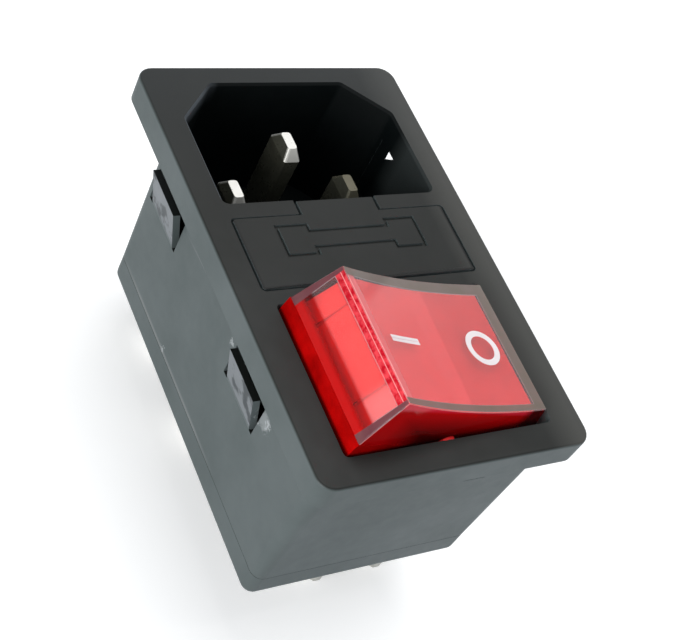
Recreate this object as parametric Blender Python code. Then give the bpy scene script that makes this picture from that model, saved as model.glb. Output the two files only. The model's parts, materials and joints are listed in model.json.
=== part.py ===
"""A panel-mounted mains socket: a three-pin inlet, a fuse drawer and a lit rocker switch in one
snap-in housing. Metres, +Z out of the panel, +Y towards the inlet, and the terminal ends at Z 0."""

import math

import bmesh
import bpy
from mathutils import Matrix, Vector

MM = 0.001
DEG = math.radians(1)

# Housing: walls and openings, in order from the switch end (-Y) to the inlet end (+Y)
BOTTOM_WALL = 1.2 * MM
WELL_LENGTH = 17.0 * MM
PARTITION = 1.55 * MM
STRIP = 1.75 * MM
INLET_LENGTH = 15.8 * MM
TOP_WALL = 0.8 * MM
# Housing: across
SIDE_WALL = 1.2 * MM
WELL_WALL = 1.7 * MM
SLOT_WALL = 0.95 * MM
SLOT_SIDE_ROOM = 1.35 * MM
# Housing: depths, corners and edges
FLANGE_LIP_X = 1.95 * MM
FLANGE_LIP_Y = 1.75 * MM
FLANGE_THICK = 3.2 * MM
FLANGE_CORNER = 1.8 * MM
FLANGE_EDGE = 0.3 * MM
BODY_CORNER = 1.6 * MM
LEAST_CORNER = 0.2 * MM
FLOOR_ROOM = 3.3 * MM
DRAFT = 1.0 * DEG
INLET_DEPTH = 16.5 * MM
INLET_CORNER = 0.9 * MM
INLET_CHAMFER = 4.5 * MM
INLET_ENTRY = 0.25 * MM
CHAMFER_WALL = 0.85 * MM
FLOOR_THICK = 1.8 * MM
# Snap latches
LATCH_SPAN = 7.5 * MM
LATCH_WIDTH = 6.1 * MM
LATCH_SHIFT = 0.15 * MM
LATCH_DEPTH = 7.65 * MM
LATCH_PROUD = 1.4 * MM
LATCH_THICK = 0.8 * MM
PANEL_GAP = 2.4 * MM
LATCH_FROM_INLET_END = 9.95 * MM
LATCH_PITCH = 22.45 * MM
# Sink mark of the mould's stripper, beside the flange on the switch end
NOTCH_X = 5.9 * MM
NOTCH_SIZE = 2.6 * MM
NOTCH_HEIGHT = 0.8 * MM
NOTCH_DEPTH = 0.5 * MM
NOTCH_DROP = 3.7 * MM
# Rear cover and terminals
COVER_DEPTH = 3.45 * MM
COVER_PLATE = 1.8 * MM
COVER_RIM = 1.2 * MM
COVER_SPIGOT = 1.5 * MM
COVER_EDGE = 0.9 * MM
SEAM_GAP = 0.15 * MM
TAB_LENGTH = 8.5 * MM
TAB_WIDTH = 4.8 * MM
TAB_THICK = 0.8 * MM
TAB_HOLE = 1.8 * MM
TAB_CHAMFER = 0.8 * MM
FIT = 0.15 * MM
# Inlet pins
PIN_WIDTH = 4.0 * MM
PIN_THICK = 2.0 * MM
PIN_SPACING = 14.0 * MM
PIN_FROM_FLOOR_WALL = 6.1 * MM
EARTH_OFFSET = 4.0 * MM
LIVE_RISE = 11.4 * MM
EARTH_RISE = 14.0 * MM
PIN_TIP_LENGTH = 1.2 * MM
PIN_TIP_FLAT = 2.3 * MM
PIN_TIP_THICK = 1.1 * MM
PIN_EDGE = 0.3 * MM
PIN_COLLAR = 0.6 * MM
PIN_COLLAR_THICK = 0.7 * MM
# Fuses and their contacts
FUSE_LENGTH = 20.0 * MM
FUSE_DIAMETER = 5.2 * MM
FUSE_CAP_LENGTH = 5.0 * MM
FUSE_CAP_WALL = 0.2 * MM
FUSE_GLASS = 0.45 * MM
FUSE_WIRE = 0.3 * MM
FUSE_GAP = 0.12 * MM
CONTACT_THICK = 0.5 * MM
CONTACT_WIDTH = 3.8 * MM
CONTACT_HEIGHT = 6.4 * MM
CONTACT_BOW = 0.5 * MM
# Fuse drawer
DRAWER_GAP = 0.15 * MM
DRAWER_PLATE = 2.2 * MM
DRAWER_WALL = 1.4 * MM
DRAWER_WEB = 1.0 * MM
DRAWER_CORNER = 0.5 * MM
FUSE_PLAY = 0.3 * MM
CRADLE_NOTCH = 8.0 * MM
CRADLE_ROOM = 1.7 * MM
TONGUE_WIDTH = 9.0 * MM
TONGUE_DEPTH = 5.0 * MM
TONGUE_GAP = 0.35 * MM
SYMBOL_CAP_X = 8.1 * MM
SYMBOL_BAR_X = 4.65 * MM
SYMBOL_CAP_HALF = 1.8 * MM
SYMBOL_BAR_HALF = 1.0 * MM
SYMBOL_FROM_EDGE = 3.05 * MM
SYMBOL_LINE = 0.4 * MM
SYMBOL_DEPTH = 0.25 * MM
# Rocker
ROCKER_TILT = 16.0 * DEG
PIVOT_HEIGHT = 1.1 * MM
ROCKER_END_GAP = 0.33 * MM
ROCKER_SIDE_GAP = 0.3 * MM
ROCKER_CROWN = 6.1 * MM
ROCKER_SAG = 0.8 * MM
CAP_SKIRT = 0.5 * MM
CAP_WALL = 0.9 * MM
CAP_TOP = 1.2 * MM
CAP_EDGE = 0.15 * MM
ROCKER_SKIRT = 2.4 * MM
INSERT_WALL = 1.1 * MM
INSERT_CEILING = 1.1 * MM
INSERT_GROOVE = 0.4 * MM
INSERT_GROOVE_Y = 4.4 * MM
TRUNNION_RADIUS = 1.4 * MM
TRUNNION_LENGTH = 0.9 * MM
TRUNNION_GAP = 0.08 * MM
# Switch mechanism
POLE_OFFSET = 4.1 * MM
PLUNGER_REACH = 9.5 * MM
PLUNGER_RADIUS = 1.2 * MM
PLUNGER_LENGTH = 6.0 * MM
PLUNGER_PLAY = 0.2 * MM
SLEEVE_WALL = 0.6 * MM
SLEEVE_REACH = 5.5 * MM
SPRING_WIRE = 0.3 * MM
SPRING_TURNS = 6
BLADE_GAP = 0.2 * MM
BLADE_THICK = 0.5 * MM
BLADE_WIDTH = 4.2 * MM
BLADE_VEE = 11.0 * DEG
BLADE_TILT = 9.0 * DEG
BLADE_CONTACT = 6.3 * MM
BLADE_MARGIN = 1.1 * MM
BLADE_HEEL = 5.5 * MM
FULCRUM_GAP = 0.12 * MM
BUTTON_RADIUS = 1.0 * MM
BUTTON_HEIGHT = 0.6 * MM
BUTTON_GAP = 0.15 * MM
SHELF_OFFSET = 1.6 * MM
# Lamp
LAMP_DIAMETER = 3.4 * MM
LAMP_LENGTH = 9.0 * MM
RESISTOR_DIAMETER = 1.8 * MM
RESISTOR_LENGTH = 4.0 * MM
LEAD_DIAMETER = 0.45 * MM
LEAD_STUB = 0.8 * MM
LAMP_SEAT = 0.3 * MM
LAMP_END_ROOM = 1.15 * MM

# Levels that follow from the sizes above
SLOT_WIDTH = FUSE_LENGTH + 2 * (FUSE_PLAY + CONTACT_BOW + CONTACT_THICK + SLOT_SIDE_ROOM)
SLOT_LENGTH = FUSE_DIAMETER + 2 * (FUSE_PLAY + DRAWER_WALL + DRAWER_GAP)
BODY_WIDTH = SLOT_WIDTH + 2 * SLOT_WALL
FUSE_ROOM = FUSE_DIAMETER + 2 * FUSE_PLAY
SLOT_DEPTH = DRAWER_PLATE + 2 * FUSE_ROOM + DRAWER_WEB + CRADLE_ROOM
DEEPEST = max(INLET_DEPTH, SLOT_DEPTH)
SHELL_DEPTH = DEEPEST + FLOOR_THICK + FLOOR_ROOM - FLANGE_THICK
INLET_WIDTH = BODY_WIDTH - 2 * SIDE_WALL
WELL_WIDTH = BODY_WIDTH - 2 * WELL_WALL
BODY_LENGTH = BOTTOM_WALL + WELL_LENGTH + PARTITION + SLOT_LENGTH + STRIP + INLET_LENGTH + TOP_WALL
BODY_Y0 = -BODY_LENGTH / 2
WELL_Y0 = BODY_Y0 + BOTTOM_WALL
WELL_Y1 = WELL_Y0 + WELL_LENGTH
SLOT_Y0 = WELL_Y1 + PARTITION
SLOT_Y1 = SLOT_Y0 + SLOT_LENGTH
INLET_Y0 = SLOT_Y1 + STRIP
INLET_Y1 = INLET_Y0 + INLET_LENGTH
BODY_Y1 = INLET_Y1 + TOP_WALL
REAR_Z = TAB_LENGTH
SEAM_Z = REAR_Z + COVER_DEPTH
SEAT_Z = SEAM_Z + SEAM_GAP + SHELL_DEPTH
FACE_Z = SEAT_Z + FLANGE_THICK
FLOOR_Z = FACE_Z - INLET_DEPTH
SLOT_FLOOR_Z = FACE_Z - SLOT_DEPTH
FLOOR_BACK_Z = FACE_Z - DEEPEST - FLOOR_THICK
PIVOT = Vector((0, (WELL_Y0 + WELL_Y1) / 2, SEAT_Z + PIVOT_HEIGHT))
POLES = {"line": PIVOT.y + POLE_OFFSET, "neutral": PIVOT.y - POLE_OFFSET}
LIVE_Y = INLET_Y0 + PIN_FROM_FLOOR_WALL
LATCH_MIDDLES = (BODY_Y1 - LATCH_FROM_INLET_END, BODY_Y1 - LATCH_FROM_INLET_END - LATCH_PITCH)
FUSE_Y = (SLOT_Y0 + SLOT_Y1) / 2
SPARE_LOW_Z = FACE_Z - DRAWER_PLATE - FUSE_ROOM
SPARE_Z = SPARE_LOW_Z + FUSE_ROOM / 2
FUSE_Z = SPARE_LOW_Z - DRAWER_WEB - FUSE_ROOM / 2
CRADLE_END_Z = FUSE_Z - FUSE_DIAMETER / 2 - FUSE_PLAY
CEILING = ROCKER_CROWN - ROCKER_SAG - CAP_TOP - FIT - INSERT_CEILING
BLADE_Z = PIVOT.z - PLUNGER_REACH - BLADE_GAP - BLADE_THICK / math.cos(BLADE_VEE)
FULCRUM_Z = BLADE_Z - FULCRUM_GAP
BUTTON_Z = BLADE_Z + BLADE_CONTACT * math.tan(BLADE_VEE - BLADE_TILT) - BUTTON_HEIGHT - FIT - BUTTON_GAP
SHELF_Z = BUTTON_Z - BUTTON_HEIGHT - FIT
HEEL_Z = BLADE_Z + BLADE_HEEL * math.tan(BLADE_VEE - BLADE_TILT)
TAB_OUT_X = BLADE_CONTACT + SHELF_OFFSET
PIN_PLACES = [(-PIN_SPACING / 2, LIVE_Y), (PIN_SPACING / 2, LIVE_Y), (0, LIVE_Y + EARTH_OFFSET)]
TAB_PLACES = [(0, LIVE_Y + EARTH_OFFSET), (-PIN_SPACING / 2, LIVE_Y), (-PIN_SPACING / 2, FUSE_Y)]
TAB_PLACES += [(x, y) for x in (0, TAB_OUT_X) for y in POLES.values()]
BEYOND = 1.0 * MM
SOFT = 14 * DEG


def material(name, colour, roughness, metallic=0.0, transmission=0.0):
    """A Principled material."""
    made = bpy.data.materials.new(name)
    made.use_nodes = True
    shader = made.node_tree.nodes["Principled BSDF"]
    shader.inputs["Base Color"].default_value = (*colour, 1)
    shader.inputs["Roughness"].default_value = roughness
    shader.inputs["Metallic"].default_value = metallic
    shader.inputs["Transmission Weight"].default_value = transmission
    return made


def add(name, bm, finish=None, parent=None, smooth=None):
    """Puts a mesh into the scene as an object, facing out."""
    bmesh.ops.recalc_face_normals(bm, faces=bm.faces)
    mesh = bpy.data.meshes.new(name)
    bm.to_mesh(mesh)
    bm.free()
    if smooth is not None:
        mesh.shade_smooth()
        mesh.set_sharp_from_angle(angle=smooth)
    made = bpy.data.objects.new(name, mesh)
    bpy.context.scene.collection.objects.link(made)
    if finish:
        mesh.materials.append(finish)
    made.parent = parent
    return made


def boolean(target, tool, operation="DIFFERENCE"):
    """Cuts target with tool, or joins tool to it, and leaves tool as a hidden helper."""
    step = target.modifiers.new(tool.name, "BOOLEAN")
    step.object = tool
    step.operation = operation
    step.solver = "EXACT"
    tool.hide_render = True
    tool.display_type = "WIRE"
    return target


def filleted(corners, steps=5):
    """The outline through corners (u, v, radius), each rounded by an arc."""
    outline = []
    for index, (u, v, radius) in enumerate(corners):
        corner = Vector((u, v))
        if radius <= 0:
            outline.append(corner)
            continue
        back = (Vector(corners[index - 1][:2]) - corner).normalized()
        ahead = (Vector(corners[(index + 1) % len(corners)][:2]) - corner).normalized()
        half = back.angle(ahead) / 2
        centre = corner + (back + ahead).normalized() * radius / math.sin(half)
        start = corner + back * radius / math.tan(half) - centre
        turn = math.copysign(math.pi - 2 * half, ahead.x * back.y - ahead.y * back.x)
        for step in range(steps + 1):
            outline.append(centre + Matrix.Rotation(turn * step / steps, 2) @ start)
    return outline


def rectangle(u0, v0, u1, v1, radius=0.0, steps=5):
    corners = [(u0, v0, radius), (u1, v0, radius), (u1, v1, radius), (u0, v1, radius)]
    return filleted(corners, steps)


def placed(u, v, along, axis):
    """A point of an outline drawn across an axis: (x, y) across Z, (x, z) across Y, (y, z) across X."""
    if axis == "Z":
        return (u, v, along)
    return (u, along, v) if axis == "Y" else (along, u, v)


def loft_mesh(rings):
    """A closed skin over rings of equally many points, with flat ends."""
    bm = bmesh.new()
    loops = [[bm.verts.new(point) for point in ring] for ring in rings]
    for first, second in zip(loops, loops[1:]):
        for index in range(len(first)):
            after = (index + 1) % len(first)
            bm.faces.new((first[index], first[after], second[after], second[index]))
    bm.faces.new(loops[0])
    bm.faces.new(loops[-1])
    return bm


def prism(name, outline, low, high, axis="Z", **options):
    """An outline extruded along an axis from low to high."""
    rings = [[placed(u, v, along, axis) for u, v in outline] for along in (low, high)]
    return add(name, loft_mesh(rings), **options)


def box(name, low, high, **options):
    return prism(name, rectangle(low[0], low[1], high[0], high[1]), low[2], high[2], **options)


def circle(centre_u, centre_v, radius, segments=24):
    angles = [2 * math.pi * index / segments for index in range(segments)]
    return [(centre_u + radius * math.cos(a), centre_v + radius * math.sin(a)) for a in angles]


def turned(name, profile, centre, axis, segments=20, closed=False, **options):
    """A profile of (along, radius) turned about an axis through centre."""
    bm = bmesh.new()
    rings = []
    for along, radius in profile:
        ring = circle(0, 0, radius, segments) if radius > 0 else [(0, 0)]
        rings.append([bm.verts.new(Vector(centre) + Vector(placed(u, v, along, axis))) for u, v in ring])
    pairs = list(zip(rings, rings[1:]))
    if closed:
        pairs.append((rings[-1], rings[0]))
    for first, second in pairs:
        for index in range(segments):
            after = (index + 1) % segments
            corners = [first[index % len(first)], first[after % len(first)]]
            corners += [second[after % len(second)], second[index % len(second)]]
            bm.faces.new(list(dict.fromkeys(corners)))
    return add(name, bm, **options)


def wire(name, points, radius, finish=None, parent=None, kind="POLY", resolution=2):
    """A round wire through points, with closed ends."""
    curve = bpy.data.curves.new(name, "CURVE")
    curve.dimensions = "3D"
    curve.bevel_depth = radius
    curve.bevel_resolution = resolution
    curve.use_fill_caps = True
    spline = curve.splines.new(kind)
    spline.points.add(len(points) - 1)
    for point, place in zip(spline.points, points):
        point.co = (*place, 1)
    made = bpy.data.objects.new(name, curve)
    bpy.context.scene.collection.objects.link(made)
    if finish:
        curve.materials.append(finish)
    made.parent = parent
    return made


def body_outline(inset=0.0):
    """The housing's outline behind the flange: square at the switch end, chamfered at the inlet end."""
    half = BODY_WIDTH / 2 - inset
    chamfer = SIDE_WALL + TOP_WALL + INLET_CHAMFER - CHAMFER_WALL * math.sqrt(2)
    chamfer -= inset * (2 - math.sqrt(2))
    radius = max(BODY_CORNER - inset, LEAST_CORNER)
    return filleted([
        (-half, BODY_Y0 + inset, radius), (half, BODY_Y0 + inset, radius),
        (half, BODY_Y1 - inset - chamfer, radius), (half - chamfer, BODY_Y1 - inset, radius),
        (chamfer - half, BODY_Y1 - inset, radius), (-half, BODY_Y1 - inset - chamfer, radius),
    ], 7)


def inlet_outline(y0, inset=0.0):
    """The inlet's opening from y0 to its chamfered end."""
    half = INLET_WIDTH / 2 - inset
    top = INLET_Y1 - inset
    chamfer = INLET_CHAMFER - inset * (2 - math.sqrt(2))
    return filleted([
        (-half, y0 + inset, INLET_CORNER), (half, y0 + inset, INLET_CORNER),
        (half, top - chamfer, INLET_CORNER), (half - chamfer, top, INLET_CORNER),
        (chamfer - half, top, INLET_CORNER), (-half, top - chamfer, INLET_CORNER),
    ], 7)


def well_outline(inset=0.0):
    """The rocker's well."""
    half = WELL_WIDTH / 2 - inset
    return rectangle(-half, WELL_Y0 + inset, half, WELL_Y1 - inset, DRAWER_CORNER, 3)


def eased(outline_at, low, high, edge, steps=7):
    """Rings of an extrusion whose edge at high is rounded, for an outline that takes an inset."""
    rise = math.copysign(edge, high - low)
    rings = [[(u, v, low) for u, v in outline_at(0)]]
    for step in range(steps + 1):
        angle = math.pi / 2 * step / steps
        level = high - rise * (1 - math.sin(angle))
        rings.append([(u, v, level) for u, v in outline_at(edge * (1 - math.cos(angle)))])
    return rings


def flange_outline(inset):
    half_x = BODY_WIDTH / 2 + FLANGE_LIP_X - inset
    half_y = BODY_LENGTH / 2 + FLANGE_LIP_Y - inset
    return rectangle(-half_x, -half_y, half_x, half_y, FLANGE_CORNER - inset, 7)


def drafted(depth):
    """How far the mould's draft draws the body's wall in at a depth behind the panel."""
    return depth * math.tan(DRAFT)


def cover_outline(inset):
    return body_outline(drafted(SHELL_DEPTH) + inset)


def latch(side, middle, name):
    """One snap tongue, rooted at the rear of its window and leaning out to a catch behind the flange."""
    root = LATCH_DEPTH + BEYOND
    low = middle - LATCH_SHIFT - LATCH_WIDTH / 2
    high = low + LATCH_WIDTH
    rings = []
    for depth, lean in ((root, 0.0), (LATCH_DEPTH, 0.0), (PANEL_GAP, LATCH_PROUD)):
        level = SEAT_Z - depth
        outer = side * (BODY_WIDTH / 2 - drafted(depth) + lean)
        inner = side * (BODY_WIDTH / 2 - drafted(depth) + lean - LATCH_THICK)
        ring = ((outer, low), (outer, high), (inner, high), (inner, low))
        rings.append([(x, y, level) for x, y in ring])
    return add(name, loft_mesh(rings))


def housing(finish):
    """Bezel, inlet shroud, fuse slot, switch well and four snap latches, moulded in one."""
    rings = eased(flange_outline, SEAT_Z, FACE_Z, FLANGE_EDGE)
    shell = add("housing", loft_mesh(rings), finish, smooth=SOFT)
    levels = ((SHELL_DEPTH, drafted(SHELL_DEPTH)), (0, 0), (FLANGE_EDGE - FLANGE_THICK, 0))
    base = [[(x, y, SEAT_Z - depth) for x, y in body_outline(inset)] for depth, inset in levels]
    boolean(shell, add("housing_base", loft_mesh(base)), "UNION")
    above = FACE_Z + BEYOND
    below = SEAM_Z - BEYOND
    half_slot = SLOT_WIDTH / 2
    half_tongue = TONGUE_WIDTH / 2 + TONGUE_GAP
    entry = []
    for rise in (-INLET_ENTRY, INLET_ENTRY):
        wider = INLET_ENTRY + rise
        entry.append([(x, y, FACE_Z + rise) for x, y in inlet_outline(INLET_Y0 + wider, -wider)])
    cutters = [
        prism("inlet_cutter", inlet_outline(INLET_Y0), FLOOR_Z, above),
        add("entry_cutter", loft_mesh(entry)),
        prism("slot_cutter", rectangle(-half_slot, SLOT_Y0, half_slot, SLOT_Y1, DRAWER_CORNER, 3),
              SLOT_FLOOR_Z, above),
        prism("well_cutter", well_outline(), below, above),
        prism("rear_cutter", inlet_outline(SLOT_Y0), below, FLOOR_BACK_Z),
        box("tongue_cutter", (-half_tongue, SLOT_Y1 - BEYOND, FACE_Z - TONGUE_DEPTH - TONGUE_GAP),
            (half_tongue, INLET_Y0 + BEYOND, above)),
        prism("trunnion_cutter", circle(PIVOT.x, PIVOT.z, TRUNNION_RADIUS + TRUNNION_GAP),
              WELL_Y0 - TRUNNION_LENGTH, WELL_Y1 + TRUNNION_LENGTH, "Y"),
        box("notch_cutter",
            (NOTCH_X - NOTCH_SIZE / 2, BODY_Y0 - BEYOND, SEAT_Z - NOTCH_DROP - NOTCH_HEIGHT / 2),
            (NOTCH_X + NOTCH_SIZE / 2, BODY_Y0 + NOTCH_DEPTH, SEAT_Z - NOTCH_DROP + NOTCH_HEIGHT / 2)),
    ]
    for x, y in PIN_PLACES:
        half_x, half_y = PIN_THICK / 2 + FIT, PIN_WIDTH / 2 + FIT
        cutters.append(box("pin_cutter", (x - half_x, y - half_y, below),
                           (x + half_x, y + half_y, FLOOR_Z + BEYOND)))
    for side in (-1, 1):
        near = FUSE_LENGTH / 2 + FUSE_PLAY - FIT
        far = near + CONTACT_THICK + CONTACT_BOW + 2 * FIT
        ends = sorted((side * near, side * far))
        cutters.append(box("contact_cutter", (ends[0], FUSE_Y - CONTACT_WIDTH / 2 - FIT, below),
                           (ends[1], FUSE_Y + CONTACT_WIDTH / 2 + FIT, SLOT_FLOOR_Z + BEYOND)))
        for middle in LATCH_MIDDLES:
            inside = side * (BODY_WIDTH / 2 - SIDE_WALL - BEYOND)
            outside = side * (BODY_WIDTH / 2 + BEYOND)
            wall = sorted((inside, outside))
            cutters.append(box("window_cutter", (wall[0], middle - LATCH_SPAN / 2, SEAT_Z - LATCH_DEPTH),
                               (wall[1], middle + LATCH_SPAN / 2, SEAT_Z)))
    for cutter in cutters:
        boolean(shell, cutter)
    for side in (-1, 1):
        for middle in LATCH_MIDDLES:
            boolean(shell, latch(side, middle, "latch_tongue"), "UNION")
    return shell


def rear_cover(finish):
    """The tray that closes the back, with spigots in the shell and a slot round each terminal."""
    rings = eased(cover_outline, SEAM_Z, REAR_Z, COVER_EDGE)
    cover = add("rear_cover", loft_mesh(rings), finish, smooth=SOFT)
    top = SEAM_Z + SEAM_GAP + COVER_SPIGOT
    floor = REAR_Z + COVER_PLATE
    inset = FIT + COVER_RIM
    boolean(cover, prism("inlet_spigot", inlet_outline(SLOT_Y0, FIT), SEAM_Z - BEYOND, top), "UNION")
    boolean(cover, prism("well_spigot", well_outline(FIT), SEAM_Z - BEYOND, top), "UNION")
    boolean(cover, prism("inlet_hollow", inlet_outline(SLOT_Y0, inset), floor, top + BEYOND))
    boolean(cover, prism("well_hollow", well_outline(inset), floor, top + BEYOND))
    for pole in POLES.values():
        tower = TAB_WIDTH / 2 + COVER_RIM
        thick = TAB_THICK / 2 + COVER_RIM
        boolean(cover, box("fulcrum_tower", (-thick, pole - tower, floor - BEYOND / 2),
                           (thick, pole + tower, FULCRUM_Z - COVER_RIM)), "UNION")
        boolean(cover, box("outer_tower", (TAB_OUT_X - thick, pole - tower, floor - BEYOND / 2),
                           (TAB_OUT_X + thick, pole + tower, SHELF_Z - COVER_RIM)), "UNION")
        boolean(cover, box("heel_stop", (-BLADE_HEEL, pole - BLADE_WIDTH / 2, floor - BEYOND / 2),
                           (-BLADE_HEEL + COVER_RIM, pole + BLADE_WIDTH / 2, HEEL_Z - 2 * FIT)), "UNION")
    for x, y in TAB_PLACES:
        half_x, half_y = TAB_THICK / 2 + FIT, TAB_WIDTH / 2 + FIT
        boolean(cover, box("tab_cutter", (x - half_x, y - half_y, REAR_Z - BEYOND),
                           (x + half_x, y + half_y, FULCRUM_Z)))
    return cover


def tab(name, x, y, top, **options):
    """A flat blade terminal that stands on Z 0, with cut corners and a hole."""
    half = TAB_WIDTH / 2
    outline = [(y - half + TAB_CHAMFER, 0), (y + half - TAB_CHAMFER, 0), (y + half, TAB_CHAMFER),
               (y + half, top), (y - half, top), (y - half, TAB_CHAMFER)]
    blade = prism(name, outline, x - TAB_THICK / 2, x + TAB_THICK / 2, "X", **options)
    hole = circle(y, TAB_LENGTH / 2, TAB_HOLE / 2, 16)
    return boolean(blade, prism(name + "_hole", hole, x - BEYOND, x + BEYOND, "X"))


def pin_mesh(x, y, low, tip):
    """A flat pin with a tapered tip."""
    rings = []
    for level, thick, width in ((low, PIN_THICK, PIN_WIDTH), (tip - PIN_TIP_LENGTH, PIN_THICK, PIN_WIDTH),
                                (tip, PIN_TIP_THICK, PIN_TIP_FLAT)):
        outline = rectangle(x - thick / 2, y - width / 2, x + thick / 2, y + width / 2, PIN_EDGE, 3)
        rings.append([(u, v, level) for u, v in outline])
    return loft_mesh(rings)


def pin_with_tab(name, x, y, rise, finish):
    """An inlet pin and its terminal in one piece, with a collar under the inlet's floor."""
    pin = add(name, pin_mesh(x, y, REAR_Z + COVER_PLATE + FIT, FLOOR_Z + rise), finish, smooth=40 * DEG)
    collar_top = FLOOR_BACK_Z - FIT
    half_x, half_y = PIN_THICK / 2 + PIN_COLLAR, PIN_WIDTH / 2 + PIN_COLLAR
    collar = box(name + "_collar", (x - half_x, y - half_y, collar_top - PIN_COLLAR_THICK),
                 (x + half_x, y + half_y, collar_top))
    boolean(pin, collar, "UNION")
    return boolean(pin, tab(name + "_tab", x, y, SEAM_Z + BEYOND), "UNION")


def line_pin(finish):
    """The line pin, riveted behind the inlet's floor to the fuse's contact strip."""
    x = PIN_SPACING / 2
    strip_top = FLOOR_BACK_Z - FIT
    head_top = strip_top - CONTACT_THICK - FIT
    head_low = head_top - PIN_COLLAR_THICK
    pin = add("line_pin", pin_mesh(x, LIVE_Y, head_low, FLOOR_Z + LIVE_RISE), finish, smooth=40 * DEG)
    half_x, half_y = PIN_THICK / 2 + PIN_COLLAR, PIN_WIDTH / 2 + PIN_COLLAR
    return boolean(pin, box("rivet_head", (x - half_x, LIVE_Y - half_y, head_low),
                            (x + half_x, LIVE_Y + half_y, head_top)), "UNION")


def leaf_outline(side, low):
    """A contact leaf's section across Y: upright, bowed towards the fuse's end."""
    face = FUSE_LENGTH / 2 + FUSE_PLAY
    high = SLOT_FLOOR_Z + CONTACT_HEIGHT
    inner = [(face + CONTACT_BOW, low), (face + CONTACT_BOW, SLOT_FLOOR_Z), (face, FUSE_Z),
             (face + CONTACT_BOW, high)]
    outer = [(x + CONTACT_THICK, z) for x, z in reversed(inner)]
    return [(side * x, z) for x, z in inner + outer]


def fuse_contacts(finish):
    """The two leaves that press on the fuse's ends: one runs to the line pin, one to its own terminal."""
    strip_top = FLOOR_BACK_Z - FIT
    strip_low = strip_top - CONTACT_THICK
    half = CONTACT_WIDTH / 2
    outer = FUSE_LENGTH / 2 + FUSE_PLAY + CONTACT_BOW + CONTACT_THICK
    x = PIN_SPACING / 2
    half_x, half_y = PIN_THICK / 2 + PIN_COLLAR, PIN_WIDTH / 2 + PIN_COLLAR
    line = prism("fuse_contact_line", leaf_outline(1, strip_low), FUSE_Y - half, FUSE_Y + half, "Y",
                 finish=finish)
    strip = [(outer, FUSE_Y - half), (outer, FUSE_Y + half), (x + half_x, LIVE_Y),
             (x + half_x, LIVE_Y + half_y), (x - half_x, LIVE_Y + half_y), (x - half_x, LIVE_Y - half_y),
             (x, FUSE_Y + half), (x, FUSE_Y - half)]
    boolean(line, prism("line_strip", strip, strip_low, strip_top), "UNION")
    half_x, half_y = PIN_THICK / 2 + FIT, PIN_WIDTH / 2 + FIT
    boolean(line, box("line_rivet_hole", (x - half_x, LIVE_Y - half_y, strip_low - BEYOND),
                      (x + half_x, LIVE_Y + half_y, strip_top + BEYOND)))
    load = prism("fuse_contact_load", leaf_outline(-1, strip_low), FUSE_Y - half, FUSE_Y + half, "Y",
                 finish=finish)
    boolean(load, box("load_strip", (-outer, FUSE_Y - half, strip_low),
                      (-x + TAB_THICK / 2, FUSE_Y + half, strip_top)), "UNION")
    boolean(load, tab("load_tab", -x, FUSE_Y, strip_top), "UNION")
    return line, load


def dog_bone(y, grow):
    """The outline of a fuse symbol, a bar between two caps."""
    bar_y, cap_y = SYMBOL_BAR_HALF + grow, SYMBOL_CAP_HALF + grow
    bar_x, cap_x = SYMBOL_BAR_X - grow, SYMBOL_CAP_X + grow
    quarter = [(bar_x, bar_y), (bar_x, cap_y), (cap_x, cap_y)]
    top = quarter + [(cap_x, -cap_y), (bar_x, -cap_y), (bar_x, -bar_y)]
    left = [(-u, v) for u, v in quarter]
    left += [(-cap_x, -cap_y), (-bar_x, -cap_y), (-bar_x, -bar_y)]
    return [(u, y + v) for u, v in reversed(left)] + [(u, y + v) for u, v in top]


def groove(name, outer, inner, low, high):
    """A ring between two outlines of equally many points, extruded from low to high."""
    bm = bmesh.new()
    rings = [[bm.verts.new((u, v, level)) for u, v in outline]
             for outline, level in ((outer, low), (outer, high), (inner, high), (inner, low))]
    for first, second in zip(rings, rings[1:] + rings[:1]):
        for index in range(len(first)):
            after = (index + 1) % len(first)
            bm.faces.new((first[index], first[after], second[after], second[index]))
    return add(name, bm)


def fuse_drawer(finish):
    """Front plate with its release tongue, a spare's box behind it and an open cradle behind that."""
    half = SLOT_WIDTH / 2 - DRAWER_GAP
    low, high = SLOT_Y0 + DRAWER_GAP, SLOT_Y1 - DRAWER_GAP
    back = FACE_Z - DRAWER_PLATE
    drawer = prism("fuse_drawer", rectangle(-half, low, half, high, DRAWER_CORNER, 3), back, FACE_Z,
                   finish=finish)
    tongue = TONGUE_WIDTH / 2
    boolean(drawer, box("tongue_block", (-tongue, high - BEYOND, FACE_Z - TONGUE_DEPTH),
                        (tongue, INLET_Y0 - DRAWER_GAP, FACE_Z)), "UNION")
    inner_x = FUSE_LENGTH / 2 + FUSE_PLAY
    outer_x = inner_x + DRAWER_WEB
    boolean(drawer, box("drawer_block", (-outer_x, low, CRADLE_END_Z),
                        (outer_x, high, back + BEYOND)), "UNION")
    inner = (low + DRAWER_WALL, high - DRAWER_WALL)
    boolean(drawer, box("spare_room", (-inner_x, inner[0], SPARE_LOW_Z), (inner_x, high + BEYOND, back)))
    boolean(drawer, box("cradle_room", (-outer_x - BEYOND, inner[0], CRADLE_END_Z - BEYOND),
                        (outer_x + BEYOND, inner[1], SPARE_LOW_Z - DRAWER_WEB)))
    notch = CRADLE_NOTCH / 2
    boolean(drawer, box("cradle_notch", (-notch, low - BEYOND, CRADLE_END_Z - BEYOND),
                        (notch, high + BEYOND, FUSE_Z)))
    symbol_y = high - SYMBOL_FROM_EDGE
    line = groove("symbol_groove", dog_bone(symbol_y, SYMBOL_LINE / 2), dog_bone(symbol_y, -SYMBOL_LINE / 2),
                  FACE_Z - SYMBOL_DEPTH, FACE_Z + BEYOND)
    return boolean(drawer, line)


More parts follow.
